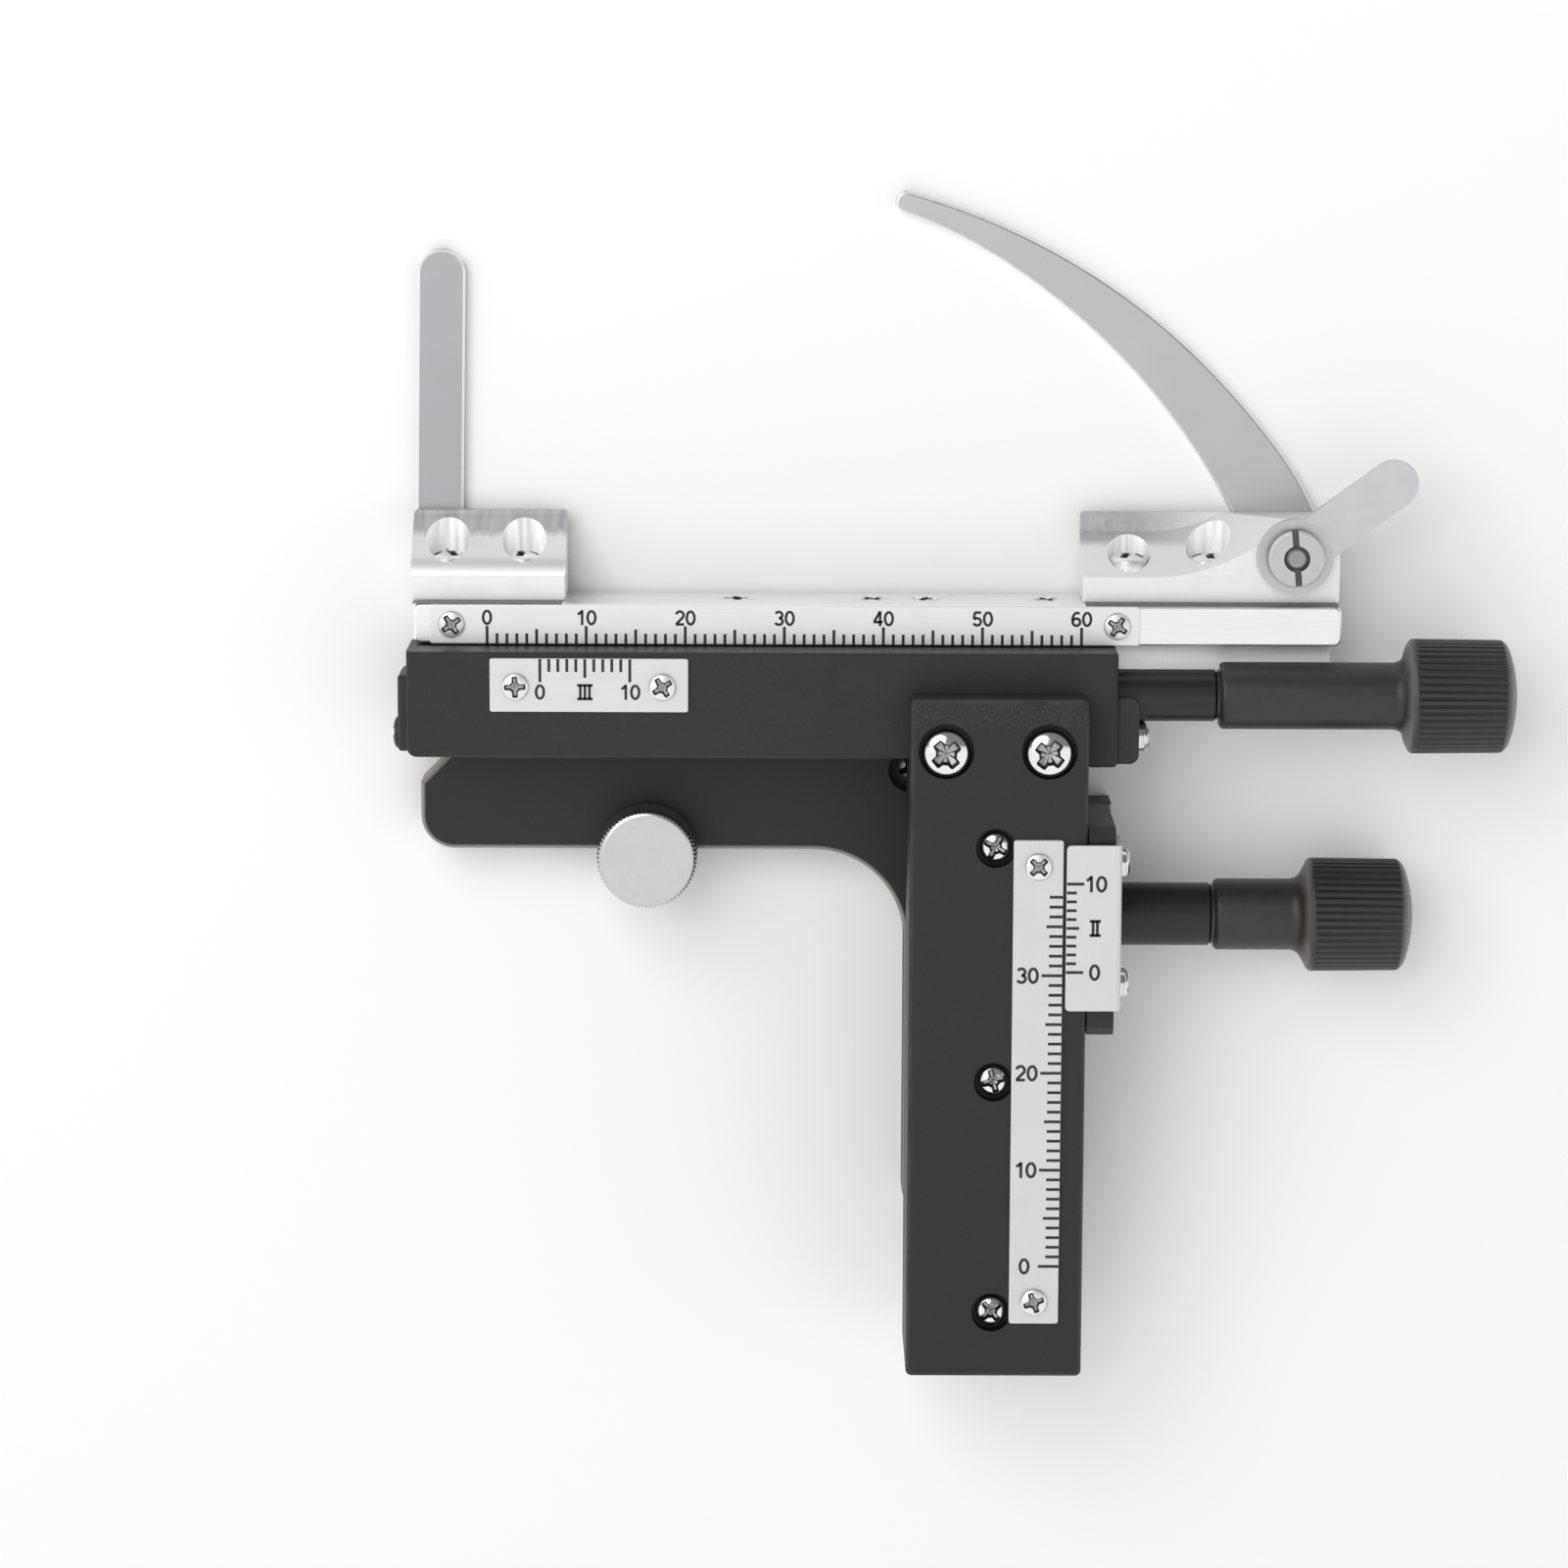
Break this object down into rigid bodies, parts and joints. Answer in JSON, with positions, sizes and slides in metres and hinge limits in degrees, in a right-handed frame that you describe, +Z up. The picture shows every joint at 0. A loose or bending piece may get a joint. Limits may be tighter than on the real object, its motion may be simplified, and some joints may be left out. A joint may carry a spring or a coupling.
{
  "type": "mechanical microscope stage",
  "caption": "Attachable mechanical stage for a microscope: X and Y slides with vernier scales and a sprung finger that holds a glass slide.",
  "frame": {"origin": "clamp screw's axis in the plane of the bracket's underside, which rests on the microscope's stage plate", "axes": "+X to the right along the rail, +Y away from the user, +Z up, away from the stage plate"},
  "size_m": [0.1136, 0.1187, 0.027],
  "materials": {
    "black_paint": "fine matte black paint",
    "satin_chrome": "satin",
    "scale_plate": "satin, printed graduation",
    "blasted_steel": "blasted",
    "black_knob": "moulded, straight knurl",
    "brass": "turned",
    "ground_steel": "ground",
    "blacked_steel": "blacked, turned",
    "turned_steel": "turned, satin nickel",
    "bright_screws": "bright nickel"
  },
  "bodies": {
    "root": {"base_bracket": "black_paint", "bracket_screw": "bright_screws", "locating_pins": "ground_steel", "clamp_washer": "turned_steel", "y_way_block": "black_paint", "way_screws": "bright_screws", "pinion_housing": "black_paint", "housing_screws": "bright_screws", "y_vernier_plate": "scale_plate", "y_vernier_screws": "bright_screws", "y_bearing_tube": "blacked_steel"},
    "clamp_screw": {"clamp_screw": "turned_steel"},
    "y_slide": {"y_block": "black_paint", "y_dovetail_rack": "ground_steel", "y_rack_screws": "bright_screws", "y_scale_plate": "scale_plate", "y_scale_screws": "bright_screws", "x_body": "black_paint", "x_body_screws": "bright_screws", "x_vernier_plate": "scale_plate", "x_vernier_screws": "bright_screws", "x_left_end_cap": "black_paint", "x_left_cap_screw": "blacked_steel", "x_right_end_plate": "black_paint", "x_right_plate_screw": "bright_screws", "x_bearing_tube": "blacked_steel"},
    "y_knob": {"y_pinion_shaft": "ground_steel", "y_drive_washer": "turned_steel", "y_knob": "black_knob"},
    "x_slide": {"x_rail": "satin_chrome", "x_dovetail_strip": "satin_chrome", "x_strip_screws": "bright_screws", "x_lead_nut": "brass", "x_scale_plate": "scale_plate", "x_scale_screws": "bright_screws", "left_holder_block": "satin_chrome", "left_block_screws": "bright_screws", "left_finger": "blasted_steel", "left_finger_screws": "bright_screws", "right_holder_block": "satin_chrome", "right_block_screws": "bright_screws", "pivot_bush": "brass", "finger_spring": "ground_steel"},
    "x_knob": {"x_lead_screw": "ground_steel", "x_drive_washer": "turned_steel", "x_knob": "black_knob"},
    "finger": {"spring_finger": "blasted_steel", "pivot_stud": "ground_steel", "finger_lever": "blasted_steel", "pivot_nut": "turned_steel"}
  },
  "joints": [
    {"name": "y_travel", "type": "slide", "parent": "root", "child": "y_slide", "axis": [0, 1, 0], "range_m": [-0.0024, 0.0304]},
    {"name": "y_knob_turn", "type": "hinge", "parent": "root", "child": "y_knob", "pos_m": [0.045, -0.0061, 0.0073], "axis": [1, 0, 0], "range_deg": [-585, 50]},
    {"name": "x_travel", "type": "slide", "parent": "y_slide", "child": "x_slide", "axis": [1, 0, 0], "range_m": [-0.0495, 0.0055]},
    {"name": "x_knob_turn", "type": "hinge", "parent": "y_slide", "child": "x_knob", "pos_m": [0.045, 0.01695, 0.01], "axis": [1, 0, 0], "range_deg": [-172, 1492]},
    {"name": "finger_pivot", "type": "hinge", "parent": "x_slide", "child": "finger", "pos_m": [0.0655, 0.0309, 0.004], "axis": [0, 0, -1], "range_deg": [0, 40], "stiffness_Nm_per_rad": 0.043, "springref_deg": -26.93},
    {"name": "clamp_screw_turn", "type": "hinge", "parent": "root", "child": "clamp_screw", "pos_m": [0, 0, 0.005], "axis": [0, 0, 1], "continuous": true}
  ],
  "couplings": [
    {"joint": "y_knob_turn", "follows": "y_travel", "rad_per_m": -333.33},
    {"joint": "x_knob_turn", "follows": "x_travel", "rad_per_m": -523.6}
  ]
}
